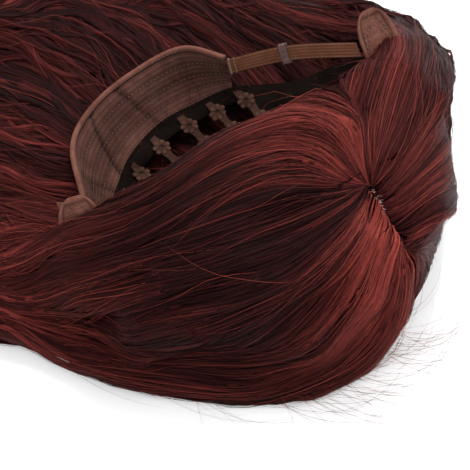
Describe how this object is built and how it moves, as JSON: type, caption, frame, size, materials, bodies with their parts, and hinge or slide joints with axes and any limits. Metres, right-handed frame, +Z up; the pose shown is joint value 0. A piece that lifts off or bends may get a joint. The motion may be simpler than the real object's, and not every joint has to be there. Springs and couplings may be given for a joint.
{
  "type": "long wig with bangs",
  "caption": "Long wavy wig with a swept fringe, lying on its back hair with the mouth of its open net cap, nape band, ear tabs and elastic straps on show.",
  "frame": {"origin": "centre of the wig's footprint on the table, at table height", "axes": "+Z up from the table, +X towards the cap's crown side on the right of the view, -X along the free hair, -Y towards the viewer"},
  "size_m": [0.565, 0.3814, 0.1032],
  "materials": {
    "net": "black open net, matte",
    "cloth": "mauve brown stitched cloth, matte",
    "elastic": "ochre brown woven elastic, matte",
    "lace": "olive brown scalloped lace, matte",
    "skin": "thin brown scalp cloth, satin",
    "hair_dark": "dark burgundy brown fibre, satin",
    "hair_light": "red burgundy fibre, satin"
  },
  "bodies": {
    "root": {"cap_net": "net", "front_band": "cloth", "nape_band": "cloth", "nape_binding": "cloth", "lace_ribbon_1": "lace", "lace_ribbon_2": "lace", "lace_ribbon_3": "lace", "lace_ribbon_4": "lace", "lace_ribbon_5": "lace", "lace_ribbon_6": "lace", "ear_tab_right": "cloth", "ear_tab_left": "cloth", "strap_right": "elastic", "strap_left": "elastic", "strap_keeper_right": "cloth", "scalp_patch": "skin", "crown_hair": "hair_dark", "fringe": "hair_light", "side_hair_left": "hair_dark", "top_hair_left": "hair_dark", "back_hair_left": "hair_dark", "back_hair_mid": "hair_dark", "back_hair_right": "hair_dark", "side_hair_right": "hair_dark"}
  },
  "joints": []
}
